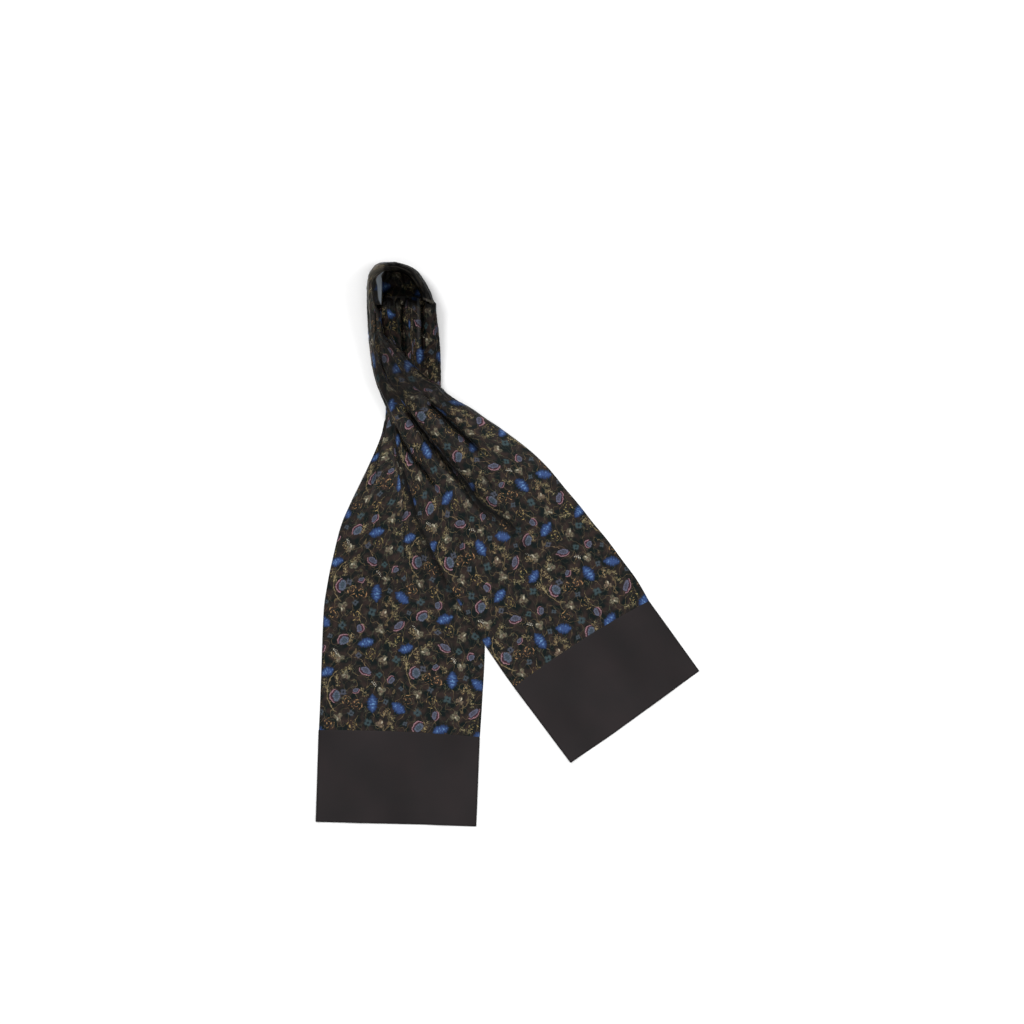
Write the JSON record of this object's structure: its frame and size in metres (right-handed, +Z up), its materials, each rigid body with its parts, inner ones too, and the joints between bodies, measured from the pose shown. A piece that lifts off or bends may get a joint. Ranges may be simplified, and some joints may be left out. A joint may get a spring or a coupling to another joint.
{
  "type": "silk scarf",
  "caption": "Long printed dress scarf with plain end panels, laid flat with its gathered neck part doubled back and its tails crossed and fanned.",
  "frame": {"origin": "middle of the laid scarf's box, on the surface that it lies on", "axes": "+X to the right of the laid scarf, +Y from the tails to the neck, +Z up from the surface"},
  "size_m": [0.5984, 0.8812, 0.0489],
  "materials": {
    "printed_silk": "dark silk twill with a small flower print, soft sheen",
    "plain_silk": "plain dark brown silk, soft satin sheen"
  },
  "bodies": {
    "root": {"rear_panel": "plain_silk", "rear_tail": "printed_silk", "neck_under": "printed_silk", "neck_turn": "printed_silk", "neck_floor": "printed_silk", "neck_over": "printed_silk", "front_tail": "printed_silk", "front_panel": "plain_silk"}
  },
  "joints": []
}
